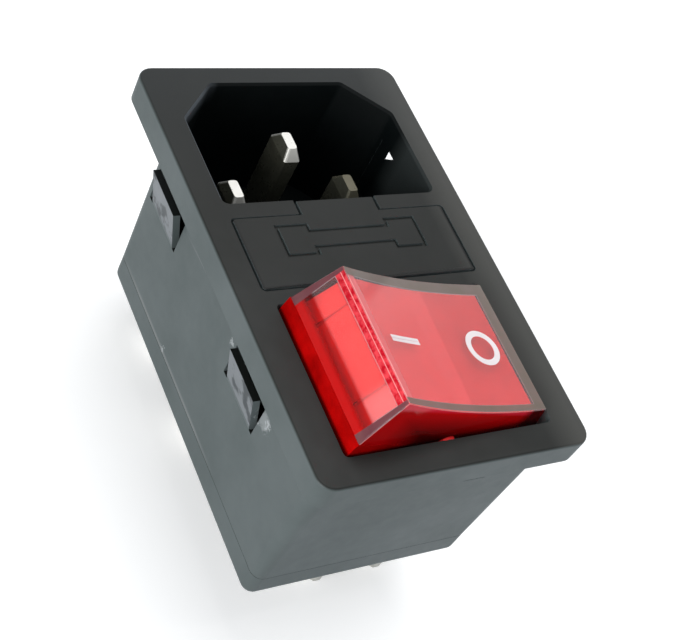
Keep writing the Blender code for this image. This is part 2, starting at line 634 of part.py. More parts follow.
def fuse(prefix, middle, glass, nickel, copper):
    """A cartridge fuse along X: glass tube, two end caps and the wire through it."""
    radius = FUSE_DIAMETER / 2
    inner = radius - FUSE_CAP_WALL
    half = FUSE_LENGTH / 2
    for side, word in ((-1, "left"), (1, "right")):
        profile = [(side * half, 0), (side * half, radius), (side * (half - FUSE_CAP_LENGTH), radius),
                   (side * (half - FUSE_CAP_LENGTH), inner), (side * (half - FUSE_CAP_WALL), inner),
                   (side * (half - FUSE_CAP_WALL), 0)]
        turned(f"{prefix}_cap_{word}", profile, middle, "X", finish=nickel, smooth=40 * DEG)
    end = half - FUSE_CAP_WALL - FUSE_GAP
    outside = inner - FUSE_GAP
    tube = [(-end, outside), (end, outside), (end, outside - FUSE_GLASS), (-end, outside - FUSE_GLASS)]
    turned(f"{prefix}_tube", tube, middle, "X", closed=True, finish=glass, smooth=40 * DEG)
    wire(f"{prefix}_wire", [middle + Vector((side * end, 0, 0)) for side in (-1, 1)], FUSE_WIRE / 2, copper)


def rocker_outline(inset, top_inset, foot):
    """The rocker's section across Y from its own pivot: sloping ends and a hollow-backed top."""
    swing = WELL_WIDTH / 2 - ROCKER_END_GAP
    crown_x = math.sqrt(swing ** 2 - ROCKER_CROWN ** 2)
    slope = (math.sqrt(swing ** 2 - CAP_SKIRT ** 2) - crown_x) / (ROCKER_CROWN - CAP_SKIRT)
    half = crown_x - inset
    crown = ROCKER_CROWN - top_inset
    top = []
    for step in range(-8, 9):
        share = step / 8
        top.append((share * (half + slope * top_inset), crown - ROCKER_SAG * (1 - share ** 2)))
    foot_x = half + slope * (ROCKER_CROWN - foot)
    return [(-foot_x, foot)] + top + [(foot_x, foot)]


def skirt_outline(top, low):
    """The rocker's section below its clear cap: ends that follow the swing about the pivot."""
    swing = WELL_WIDTH / 2 - ROCKER_END_GAP
    levels = [top + (low - top) * step / 4 for step in range(5)]
    right = [(math.sqrt(swing ** 2 - z ** 2), z) for z in levels]
    return right + [(-x, z) for x, z in reversed(right)]


def rocker(clear, red, pivot):
    """The clear cap and, inside it, the red body with its trunnions and plunger sleeves."""
    half = WELL_LENGTH / 2 - ROCKER_SIDE_GAP
    cap = prism("rocker_cap", rocker_outline(0, 0, CAP_SKIRT), -half, half, "Y", finish=clear, parent=pivot,
                smooth=30 * DEG)
    edge = cap.modifiers.new("edge", "BEVEL")
    edge.width = CAP_EDGE
    edge.segments = 2
    edge.limit_method = "ANGLE"
    edge.angle_limit = 40 * DEG
    inside = prism("cap_inside", rocker_outline(CAP_WALL, CAP_TOP, CAP_SKIRT - BEYOND), -half + CAP_WALL,
                   half - CAP_WALL, "Y", parent=pivot)
    boolean(cap, inside)
    relief = circle(0, 0, TRUNNION_RADIUS + CAP_WALL / 2)
    boolean(cap, prism("cap_relief", relief, -half - BEYOND, half + BEYOND, "Y", parent=pivot))

    skirt_top = CAP_SKIRT - FIT
    body = prism("rocker_body", skirt_outline(skirt_top, -ROCKER_SKIRT), -half, half, "Y", finish=red,
                 parent=pivot, smooth=30 * DEG)
    core = prism("body_core", rocker_outline(CAP_WALL + FIT, CAP_TOP + FIT, -BEYOND), -half + CAP_WALL + FIT,
                 half - CAP_WALL - FIT, "Y", parent=pivot)
    boolean(body, core, "UNION")
    wall = CAP_WALL + FIT + INSERT_WALL
    hollow = rocker_outline(wall, CAP_TOP + FIT + INSERT_CEILING, -ROCKER_SKIRT - BEYOND)
    boolean(body, prism("body_hollow", hollow, -half + wall, half - wall, "Y", parent=pivot))
    trunnion = prism("trunnion", circle(0, 0, TRUNNION_RADIUS), -half - TRUNNION_LENGTH + FIT,
                     half + TRUNNION_LENGTH - FIT, "Y", parent=pivot)
    boolean(body, trunnion, "UNION")
    room = circle(0, 0, TRUNNION_RADIUS + FIT)
    boolean(body, prism("trunnion_room", room, -half + wall, half - wall, "Y", parent=pivot))
    for side in (-1, 1):
        y = side * POLE_OFFSET
        sleeve = PLUNGER_RADIUS + PLUNGER_PLAY + SLEEVE_WALL
        ceiling = CEILING + INSERT_CEILING / 2
        boolean(body, prism("sleeve", circle(0, y, sleeve), -SLEEVE_REACH, ceiling, parent=pivot), "UNION")
        bore = circle(0, y, PLUNGER_RADIUS + PLUNGER_PLAY)
        boolean(body, prism("sleeve_bore", bore, -SLEEVE_REACH - BEYOND, CEILING, parent=pivot))
        for end in (-1, 1):
            core_x = rocker_outline(CAP_WALL + FIT, CAP_TOP + FIT, skirt_top + FIT)[-1][0]
            low, high = sorted((end * (core_x - INSERT_GROOVE), end * WELL_WIDTH / 2))
            y_line = side * INSERT_GROOVE_Y
            boolean(body, box("end_groove", (low, y_line - INSERT_GROOVE / 2, skirt_top + FIT),
                              (high, y_line + INSERT_GROOVE / 2, ROCKER_CROWN), parent=pivot))
    return cap, body


def plunger(word, y, nylon, steel, pivot):
    """A sprung plunger in its sleeve, and the spring above it."""
    profile = [(-PLUNGER_REACH, 0)]
    for step in range(1, 5):
        angle = math.pi / 2 * step / 4
        rise = PLUNGER_RADIUS * (1 - math.cos(angle))
        profile.append((rise - PLUNGER_REACH, PLUNGER_RADIUS * math.sin(angle)))
    top = -PLUNGER_REACH + PLUNGER_LENGTH
    profile += [(top, PLUNGER_RADIUS), (top, 0)]
    turned(f"plunger_{word}", profile, (0, y, 0), "Z", finish=nylon, parent=pivot, smooth=40 * DEG)
    low, high = top + FIT + SPRING_WIRE / 2, CEILING - FIT - SPRING_WIRE / 2
    radius = PLUNGER_RADIUS - SPRING_WIRE / 2
    steps = 10 * SPRING_TURNS
    coil = []
    for step in range(steps + 1):
        angle = 2 * math.pi * SPRING_TURNS * step / steps
        level = low + (high - low) * step / steps
        coil.append((radius * math.cos(angle), y + radius * math.sin(angle), level))
    wire(f"plunger_spring_{word}", coil, SPRING_WIRE / 2, steel, pivot, resolution=1)


def moving_contact(word, y, copper, silver):
    """The vee-shaped contact blade that rocks on the centre terminal, and its silver button."""
    fulcrum = bpy.data.objects.new(f"fulcrum_{word}", None)
    fulcrum.location = (0, y, BLADE_Z)
    fulcrum.rotation_euler.y = -BLADE_TILT
    bpy.context.scene.collection.objects.link(fulcrum)
    rise = math.tan(BLADE_VEE)
    toe = BLADE_CONTACT + BLADE_MARGIN
    under = [(-BLADE_HEEL, BLADE_HEEL * rise), (0, 0), (toe, toe * rise)]
    over = [(x, z + BLADE_THICK / math.cos(BLADE_VEE)) for x, z in reversed(under)]
    prism(f"moving_contact_{word}", under + over, -BLADE_WIDTH / 2, BLADE_WIDTH / 2, "Y", finish=copper,
          parent=fulcrum)
    button = turned(f"moving_button_{word}", button_profile(-1), (0, 0, 0), "Z", finish=silver,
                    parent=fulcrum, smooth=40 * DEG)
    button.location = (BLADE_CONTACT, 0, BLADE_CONTACT * rise - FIT)
    button.rotation_euler.y = -BLADE_VEE


def button_profile(side):
    """A domed contact button, standing off its seat towards side."""
    height = BUTTON_HEIGHT
    return [(0, 0), (0, BUTTON_RADIUS), (side * height * 0.6, BUTTON_RADIUS),
            (side * height * 0.9, BUTTON_RADIUS * 0.6), (side * height, 0)]


def switch_terminals(word, y, brass, silver):
    """The centre terminal that the blade rocks on, and the outer one with the fixed contact."""
    tab(f"switch_{word}_in", 0, y, FULCRUM_Z, finish=brass)
    outer = tab(f"switch_{word}_out", TAB_OUT_X, y, SHELF_Z, finish=brass)
    shelf = box("shelf", (BLADE_CONTACT - BUTTON_RADIUS, y - TAB_WIDTH / 2, SHELF_Z - TAB_THICK),
                (TAB_OUT_X + TAB_THICK / 2, y + TAB_WIDTH / 2, SHELF_Z))
    boolean(outer, shelf, "UNION")
    turned(f"fixed_button_{word}", button_profile(1), (BLADE_CONTACT, y, SHELF_Z + FIT), "Z", finish=silver,
           smooth=40 * DEG)


def lamp(glass, ceramic, pivot):
    """The neon lamp and its resistor, in line under the rocker's ceiling between the plunger sleeves."""
    z = CEILING - ROCKER_SAG - LAMP_SEAT - LAMP_DIAMETER / 2
    radius = LAMP_DIAMETER / 2
    wall = CAP_WALL + FIT + INSERT_WALL
    end = rocker_outline(wall, CAP_TOP + FIT + INSERT_CEILING, z)[-1][0] - LAMP_END_ROOM
    low = end - RESISTOR_LENGTH - 2 * LEAD_STUB
    start = low - LAMP_SEAT - LAMP_LENGTH
    profile = [(start, 0), (start + radius * 0.3, radius * 0.7), (start + radius, radius),
               (start + LAMP_LENGTH, radius), (start + LAMP_LENGTH, 0)]
    turned("neon_lamp", profile, (0, 0, z), "X", finish=glass, parent=pivot, smooth=40 * DEG)
    radius = RESISTOR_DIAMETER / 2
    lead = LEAD_DIAMETER / 2
    near = low + LEAD_STUB
    far = near + RESISTOR_LENGTH
    profile = [(low, 0), (low, lead), (near, lead), (near, radius), (far, radius), (far, lead),
               (end, lead), (end, 0)]
    turned("lamp_resistor", profile, (0, 0, z), "X", segments=12, finish=ceramic, parent=pivot,
           smooth=40 * DEG)


def build():
    for old in list(bpy.data.objects):
        bpy.data.objects.remove(old, do_unlink=True)
    black = material("black_nylon", (0.045, 0.05, 0.05), 0.45)
    brass = material("nickel_brass", (0.72, 0.7, 0.65), 0.25, 1.0)
    copper = material("copper", (0.75, 0.42, 0.26), 0.3, 1.0)
    silver = material("silver", (0.85, 0.85, 0.83), 0.25, 1.0)
    steel = material("spring_steel", (0.55, 0.55, 0.56), 0.3, 1.0)
    glass = material("glass", (0.9, 0.93, 0.93), 0.05, 0.0, 1.0)
    clear = material("clear_smoke", (0.8, 0.72, 0.7), 0.08, 0.0, 1.0)
    red = material("red_lens", (0.75, 0.02, 0.02), 0.25)
    nylon = material("white_nylon", (0.8, 0.8, 0.76), 0.4)
    ceramic = material("resistor_tan", (0.6, 0.45, 0.3), 0.5)

    housing(black)
    rear_cover(black)
    line_pin(brass)
    pin_with_tab("neutral_pin", -PIN_SPACING / 2, LIVE_Y, LIVE_RISE, brass)
    pin_with_tab("earth_pin", 0, LIVE_Y + EARTH_OFFSET, EARTH_RISE, brass)
    fuse_contacts(copper)
    fuse_drawer(black)
    fuse("fuse", Vector((0, FUSE_Y, FUSE_Z)), glass, brass, copper)
    fuse("spare_fuse", Vector((0, FUSE_Y, SPARE_Z)), glass, brass, copper)

    pivot = bpy.data.objects.new("rocker_pivot", None)
    pivot.location = PIVOT
    pivot.rotation_euler.y = ROCKER_TILT
    bpy.context.scene.collection.objects.link(pivot)
    rocker(clear, red, pivot)
    lamp(glass, ceramic, pivot)
    for word, y in POLES.items():
        plunger(word, y - PIVOT.y, nylon, steel, pivot)
        moving_contact(word, y, copper, silver)
        switch_terminals(word, y, brass, silver)


build()
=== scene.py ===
"""Looks of the power socket: edges, finishes, wear, switch marks, floor, light and the photo's camera."""

import json
import math

import bmesh
import bpy
from mathutils import Matrix, Vector
from mathutils.bvhtree import BVHTree


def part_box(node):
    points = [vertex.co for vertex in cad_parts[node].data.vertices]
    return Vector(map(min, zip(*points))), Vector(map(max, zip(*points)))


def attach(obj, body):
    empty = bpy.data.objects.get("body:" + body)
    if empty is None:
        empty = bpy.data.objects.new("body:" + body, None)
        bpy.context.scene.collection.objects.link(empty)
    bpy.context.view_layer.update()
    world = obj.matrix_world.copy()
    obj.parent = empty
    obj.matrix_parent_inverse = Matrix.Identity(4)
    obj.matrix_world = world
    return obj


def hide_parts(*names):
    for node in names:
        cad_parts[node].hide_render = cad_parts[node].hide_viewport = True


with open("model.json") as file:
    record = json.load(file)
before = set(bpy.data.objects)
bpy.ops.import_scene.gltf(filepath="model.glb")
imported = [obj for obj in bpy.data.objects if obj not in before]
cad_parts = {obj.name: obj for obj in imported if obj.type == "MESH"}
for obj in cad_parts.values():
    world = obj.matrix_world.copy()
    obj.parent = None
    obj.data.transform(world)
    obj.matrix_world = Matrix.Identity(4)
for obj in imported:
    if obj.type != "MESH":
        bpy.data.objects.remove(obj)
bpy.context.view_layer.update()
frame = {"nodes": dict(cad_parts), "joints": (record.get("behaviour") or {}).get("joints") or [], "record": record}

MM = 0.001
NODES = frame["nodes"]
BODIES = frame["record"]["behaviour"]["bodies"]
BODY_OF = {node: body for body, members in BODIES.items() for node in members}

# The photograph's camera, solved from the part's edges
CAMERA_PLACE = (-74.456 * MM, -68.311 * MM, 126.455 * MM)
CAMERA_TURN = (36.5062, -22.3434, -24.4777)
CAMERA_LENS = 71.013
CAMERA_SENSOR = 36
CAMERA_SHIFT_Y = 0.115
CAMERA_NEAREST = 0.005

# Lamps: name, place, target, size and power; then the world's light and look, and the floor
LAMPS = (("key", (-0.55, -0.25, 0.15), (0, 0, 0.03), 0.5, 5.0),
         ("top", (0.10, 0.10, 0.60), (0, 0, 0.03), 0.5, 2.2))
WORLD_LIGHT = (0.35, 0.37, 0.39)
WORLD_SEEN = (1, 1, 1)
FLOOR_HALF = 1.5
FLOOR_DROP = 0.05 * MM
FLOOR_GREY = (0.82, 0.82, 0.82)
FLOOR_GLOW = 0.35

# Levels of the housing, in millimetres as the shaders read them
FACE_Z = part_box("housing")[1].z / MM
SEAM_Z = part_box("housing")[0].z / MM
FLANGE_THICK = 3.2
LEFT_WALL_X = -13.0
# Spans over which painted sheen lightens the front towards its right and far borders
PAINTED_SHEEN_RIGHT_X = (10.5, 14.5)
PAINTED_SHEEN_FAR_Y = (8.0, 24.0)
SEAM_CLOSE = 0.11

# The inlet, its latch windows and tongues, and the thin webs behind them with their notch
INLET_HALF_X = 12.4
INLET_LOW_Y, INLET_HIGH_Y = 6.9, 22.7
TONGUE_FOOT_X, TONGUE_END_X = 13.6, 16.0
TONGUE_ROOT_Z, TONGUE_TOP_Z = FACE_Z - 10.85, FACE_Z - 5.6
WINDOW_LOW_Y, WINDOW_HIGH_Y = 9.8, 17.3
WEB_INNER_X, WEB_OUTER_X = 12.42, 12.60
NOTCH_LOW_Y, NOTCH_TIP_Y, NOTCH_HIGH_Y, NOTCH_DEEP = 14.20, 15.62, 15.68, 1.28

# The fuse drawer: its corners, how deep its plate goes, and how far the plate's border draws in
DRAWER_LOW, DRAWER_HIGH = (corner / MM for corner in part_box("fuse_drawer"))
DRAWER_PLATE = 3.0
GAP_MORE = 0.13

# The pins: their terminals keep their bright plating below this level, their sides above it carry painted shade,
# and their tips carry painted shade past this side
PIN_SIDE_SHADE_Z = (10.0, 12.0)
PIN_SHADE_X = (4.0, 6.0)

# Marks of handling on the left wall, and spots of painted shade for pits, in millimetres: place, reach and
# strength
SCUFFS = (((-13.5, -13.3, 26.3), 1.3, 0.30), ((-13.5, -14.0, 26.5), 0.45, 0.55),
          ((-13.5, -12.4, 25.0), 0.35, 0.5), ((-13.5, -4.3, 26.5), 0.35, 0.45),
          ((-13.4, 4.9, 12.5), 0.40, 0.6))
PIT_SHADES = (((-13.25, -6.3, 11.4), 0.22, 0.9), ((-13.25, -12.9, 11.2), 0.28, 0.9))
# Span of the painted highlight along the seam on the left wall, then the streak's line and span
SEAM_HIGHLIGHT_Y = (-8, 15)
STREAK_Y, STREAK_Z, STREAK_SLOPE = 3.0, 27.35, -0.075
STREAK_SPAN_Y = (-2, 8)

# The rocker's own frame: its hinge, and its tilt at rest, half of its travel
HINGE = next(joint for joint in frame["joints"] if joint["name"] == "rocker_hinge")
ROCKER_TILT = math.radians(HINGE["range_deg"][1] / 2)
ROCKER_FRAME = Matrix.Translation(HINGE["pos_m"]) @ Matrix.Rotation(ROCKER_TILT, 4, "Y")

# The clear cap and the red core in it, in millimetres of the rocker's frame
CAP_FOOT_Z, CAP_CROWN_Z = 0.5, 6.1
CAP_DRAFT = 0.07
CAP_FOOT_SINK = 0.3
CAVITY_HALF_Y, CAVITY_CLOSE = 7.4, 0.25
CORE_HALF_X, CORE_HALF_Y = 9.9, 7.2
GROOVE_Y = 4.4
RIM_RIGHT_X = 8.45
# Levels of the painted shade at the top of the ends and of the painted highlight line in it
BROW_Z, BROW_HIGHLIGHT_Z = 5.0, 5.62
# The crease across the core's crown, either side of which the painted light differs
CREASE_X, CREASE_SKEW = 1.2, -0.045

# Switch marks on the cap, in the rocker's own frame
BAR_FROM_X, BAR_TO_X, BAR_Y, BAR_WIDTH = -7.5 * MM, -3.5 * MM, -0.1 * MM, 0.7 * MM
BAR_HEART = 0.02 * MM
RING_X, RING_Y, RING_OUTER, RING_INNER = 5.5 * MM, -0.25 * MM, 2.05 * MM, 1.4 * MM
PRINT_THICK = 0.03 * MM
PRINT_ABOVE = 20 * MM


class Shader:
    """A small node tree, built by name. Its coordinates are the object's own, in millimetres."""

    def __init__(self, name):
        self.material = bpy.data.materials.new(name)
        self.material.use_nodes = True
        self.tree = self.material.node_tree
        self.principled = self.tree.nodes["Principled BSDF"]
        self.where = self.tree.nodes.new("ShaderNodeTexCoord")
        scale = self.tree.nodes.new("ShaderNodeVectorMath")
        scale.operation = "SCALE"
        scale.inputs["Scale"].default_value = 1 / MM
        self.tree.links.new(self.where.outputs["Object"], scale.inputs[0])
        self.millimetres = scale.outputs[0]

    def plug(self, value, socket):
        """Links a socket's value, or sets a plain number or colour."""
        if isinstance(value, bpy.types.NodeSocket):
            self.tree.links.new(value, socket)
        elif socket.type == "RGBA":
            socket.default_value = (*value, 1)
        else:
            socket.default_value = value

    def shader(self, **values):
        """Sets the Principled shader's inputs, with _ for the spaces of their names."""
        for name, value in values.items():
            self.plug(value, self.principled.inputs[name.replace("_", " ")])

    def noise(self, scale, detail=2.0, rough=0.5, vector=None):
        """Cloudy noise of a scale per millimetre, about 0.5."""
        node = self.tree.nodes.new("ShaderNodeTexNoise")
        node.inputs["Scale"].default_value = scale
        node.inputs["Detail"].default_value = detail
        node.inputs["Roughness"].default_value = rough
        self.plug(vector or self.millimetres, node.inputs["Vector"])
        return node.outputs["Fac"]

    def ramp(self, value, low, high, at_low=0.0, at_high=1.0):
        """A value mapped from low and high to at_low and at_high, and held beyond them."""
        node = self.tree.nodes.new("ShaderNodeMapRange")
        self.plug(low, node.inputs["From Min"])
        self.plug(high, node.inputs["From Max"])
        self.plug(at_low, node.inputs["To Min"])
        self.plug(at_high, node.inputs["To Max"])
        self.plug(value, node.inputs["Value"])
        return node.outputs["Result"]

    def fall(self, value, low, high):
        """1 below low, down to 0 above high."""
        return self.ramp(value, low, high, 1.0, 0.0)

    def window(self, value, low, high, edge=0.1):
        """1 between low and high, with soft edges."""
        rising = self.ramp(value, low - edge, low + edge)
        return self.product(rising, self.fall(value, high - edge, high + edge))

    def maths(self, operation, first, second=0.0):
        """One arithmetic node."""
        node = self.tree.nodes.new("ShaderNodeMath")
        node.operation = operation
        self.plug(first, node.inputs[0])
        self.plug(second, node.inputs[1])
        return node.outputs[0]

    def over(self, operation, values):
        """An operation taken over several values, from the first on."""
        result = values[0]
        for value in values[1:]:
            result = self.maths(operation, result, value)
        return result

    def product(self, *values):
        """The product of values, such as where all of several masks hold."""
        return self.over("MULTIPLY", values)

    def total(self, *values):
        """The sum of values."""
        return self.over("ADD", values)

    def most(self, *values):
        """The highest of values, such as where any of several masks holds."""
        return self.over("MAXIMUM", values)

    def size(self, value):
        """A value without its sign."""
        return self.maths("ABSOLUTE", value)

    def apart(self, vector):
        """The three parts of a vector."""
        node = self.tree.nodes.new("ShaderNodeSeparateXYZ")
        self.tree.links.new(vector, node.inputs[0])
        return node.outputs

    def axes(self):
        """X, Y and Z in the object's own millimetres."""
        return self.apart(self.millimetres)

    def facing(self):
        """The surface's direction in the object's own frame."""
        return self.apart(self.where.outputs["Normal"])

    def stretched(self, x, y, z):
        """The object's millimetres, scaled apart along each axis."""
        node = self.tree.nodes.new("ShaderNodeVectorMath")
        node.operation = "MULTIPLY"
        node.inputs[1].default_value = (x, y, z)
        self.tree.links.new(self.millimetres, node.inputs[0])
        return node.outputs[0]

    def near(self, place, reach, ragged):
        """A mask round a place, with an edge broken up by noise."""
        node = self.tree.nodes.new("ShaderNodeVectorMath")
        node.operation = "DISTANCE"
        node.inputs[1].default_value = place
        self.tree.links.new(self.millimetres, node.inputs[0])
        uneven = self.ramp(self.noise(2.5, 4, 0.7), 0.3, 0.7, -ragged, ragged)
        return self.fall(self.total(node.outputs["Value"], uneven), 0.6 * reach, reach)

    def mixed(self, share, first, second):
        """From the first colour or value to the second, by share."""
        node = self.tree.nodes.new("ShaderNodeMix")
        node.data_type = "RGBA"
        self.plug(share, node.inputs["Factor"])
        self.plug(first, node.inputs["A"])
        self.plug(second, node.inputs["B"])
        return node.outputs["Result"]

    def bump(self, height, distance, strength):
        """A fine relief on the surface."""
        node = self.tree.nodes.new("ShaderNodeBump")
        node.inputs["Strength"].default_value = strength
        node.inputs["Distance"].default_value = distance
        self.plug(height, node.inputs["Height"])
        self.plug(node.outputs["Normal"], self.principled.inputs["Normal"])


def black_nylon(name, marks=None):
    """Moulded black nylon: satin on its front, with painted light that makes its sides a lighter bluish grey than
    its front, painted sheen towards the front's right and far borders, and a faint grain.
    """
    s = Shader(name)
    x, y, _ = s.axes()
    slow = s.ramp(s.noise(0.10, 3, 0.55), 0.35, 0.65)
    cloud = s.ramp(s.noise(0.7, 4, 0.6), 0.3, 0.7)
    front = s.mixed(slow, (0.004, 0.005, 0.004), (0.009, 0.010, 0.009))
    # Painted sheen: the front is painted lighter towards its right and far borders.
    front = s.mixed(s.ramp(x, *PAINTED_SHEEN_RIGHT_X, 0.0, 0.8), front, (0.060, 0.060, 0.055))
    front = s.mixed(s.ramp(y, *PAINTED_SHEEN_FAR_Y, 0.0, 0.35), front, (0.030, 0.034, 0.036))
    # Painted light: faces turned sideways get a lighter bluish grey than the front, for how light falls on them.
    sides = s.mixed(slow, (0.058, 0.072, 0.072), (0.074, 0.089, 0.090))
    colour = s.mixed(s.ramp(s.facing()[2], 0.35, 0.85), sides, front)
    if marks:
        colour = marks(s, colour)
    s.shader(Base_Color=colour, Roughness=s.ramp(cloud, 0, 1, 0.42, 0.50))
    s.shader(IOR=1.5, Specular_IOR_Level=0.20)
    s.shader(Sheen_Weight=0.08, Sheen_Roughness=0.4, Sheen_Tint=(0.75, 0.9, 1.0))
    s.bump(s.noise(3.0, 3, 0.6), 0.006 * MM, 0.25)
    return s.material


def housing_marks(s, colour):
    """The housing's own layers: latch tongues painted lighter as painted light, with darker blotches; a painted
    highlight along the seam; a streak; scuffs; and the painted shade of pits.
    """
    x, y, z = s.axes()
    outside = s.ramp(s.product(x, s.facing()[0]), 11.8, 12.8)
    # Painted light: the latch tongues' outer faces are painted a light grey, as faces catching light from below,
    # with darker blotches.
    tongue = s.product(s.window(s.size(x), TONGUE_FOOT_X + 0.03, TONGUE_END_X, 0.03), outside,
                       s.window(z, TONGUE_ROOT_Z, TONGUE_TOP_Z, 0.05))
    blotches = s.ramp(s.noise(0.45, 3, 0.6), 0.50, 0.58)
    lit_tongue = s.mixed(blotches, (0.135, 0.145, 0.155), (0.035, 0.04, 0.043))
    colour = s.mixed(tongue, colour, lit_tongue)

    left = s.fall(x, LEFT_WALL_X - 0.1, LEFT_WALL_X + 0.1)
    # Painted highlight: a lighter band along the seam on the left wall, where its rounded edge would catch light.
    seam = s.product(left, s.window(z, SEAM_Z - 0.2, SEAM_Z + 0.35, 0.15), s.window(y, *SEAM_HIGHLIGHT_Y, 3.0))
    colour = s.mixed(s.product(seam, 0.6), colour, (0.16, 0.17, 0.17))
    line = s.total(z, -STREAK_Z, s.product(s.total(y, -STREAK_Y), -STREAK_SLOPE))
    streak = s.product(left, s.window(line, -0.06, 0.06, 0.06), s.window(y, *STREAK_SPAN_Y, 1.5))
    colour = s.mixed(s.product(streak, 0.35), colour, (0.20, 0.21, 0.22))
    for place, reach, strength in SCUFFS:
        colour = s.mixed(s.product(s.near(place, reach, 0.5), strength), colour, (0.38, 0.40, 0.41))
    # Painted shade: near-black spots stand for the shade inside small pits.
    for place, reach, strength in PIT_SHADES:
        colour = s.mixed(s.product(s.near(place, reach, 0.1), strength), colour, (0.001, 0.001, 0.001))
    return colour


def drawer_gap_shade(s, colour):
    """Painted shade: the dark line that the gap round the drawer draws, painted on its border."""
    x, y, z = s.axes()
    sides = s.ramp(s.size(x), DRAWER_HIGH.x - 0.40, DRAWER_HIGH.x - 0.26)
    low = s.fall(y, DRAWER_LOW.y + 0.26, DRAWER_LOW.y + 0.40)
    front = s.product(s.ramp(s.facing()[2], 0.2, 0.4), s.ramp(z, FACE_Z - 1.0, FACE_Z - 0.9))
    return s.mixed(s.product(front, s.most(sides, low)), colour, (0.0005, 0.0005, 0.0005))


def dead_black(name):
    """The unlit inside of the inlet, paler where light reaches its left slope and its right panel."""
    s = Shader(name)
    x, y, z = s.axes()
    slope = s.product(s.ramp(z, FACE_Z - 3.0, FACE_Z - 0.5), s.fall(x, -9.5, -7.0))
    panel = s.product(s.ramp(x, 10.9, 11.1), s.fall(y, 13.0, 15.5))
    colour = s.mixed(s.noise(0.4, 3, 0.6), (0.0006, 0.0014, 0.0016), (0.0020, 0.0032, 0.0034))
    colour = s.mixed(slope, colour, (0.08, 0.09, 0.10))
    colour = s.mixed(panel, colour, (0.020, 0.024, 0.024))
    cloud = s.ramp(s.noise(0.7, 4, 0.6), 0.3, 0.7, 0.5, 0.6)
    s.shader(Base_Color=colour, Roughness=cloud, Specular_IOR_Level=0.08)
    return s.material


def pin_metal(name):
    """The pins' plating: bright tips and terminals, with painted shade making their sides inside the shroud dark
    olive and darkening their tips past one side.
    """
    s = Shader(name)
    x, _, z = s.axes()
    dull = s.ramp(s.noise(0.8, 3, 0.6), 0.35, 0.7)
    # Painted shade: the sides inside the shroud are painted dark olive for the shade and dark reflections there.
    sides = s.mixed(dull, (0.10, 0.10, 0.075), (0.065, 0.065, 0.050))
    sides = s.mixed(s.ramp(z, *PIN_SIDE_SHADE_Z), (0.80, 0.79, 0.74), sides)
    # Painted shade: the upturned tips are painted dark past one side.
    tips = s.mixed(s.ramp(x, *PIN_SHADE_X), (0.80, 0.79, 0.75), (0.14, 0.13, 0.09))
    # Painted light: upturned faces take the bright tips' colour, faces turned sideways the shaded sides' colour.
    s.shader(Base_Color=s.mixed(s.ramp(s.facing()[2], 0.35, 0.8), sides, tips),
             Roughness=s.ramp(dull, 0, 1, 0.25, 0.40), Metallic=0.5)
    return s.material


def plated(name, colour, rough, drawn=0.4):
    """Plated or bare metal, with drawing lines and dull patches."""
    s = Shader(name)
    lines = s.noise(6.0, 3, 0.6, s.stretched(1, 1, 0.06))
    dull = s.ramp(s.noise(0.8, 3, 0.6), 0.35, 0.7, 0, 0.7)
    s.shader(Base_Color=s.mixed(dull, colour, tuple(0.72 * c for c in colour)),
             Roughness=s.ramp(lines, 0.3, 0.7, *rough), Metallic=1.0)
    if drawn:
        s.bump(lines, 0.006 * MM, drawn)
    return s.material


def rocker_faces(s):
    """Masks of the rocker's crown, its ends and the long side that faces the photo's camera."""
    away = s.facing()
    return s.ramp(away[2], 0.75, 0.9), s.ramp(s.size(away[0]), 0.6, 0.8), s.fall(away[1], -0.9, -0.7)


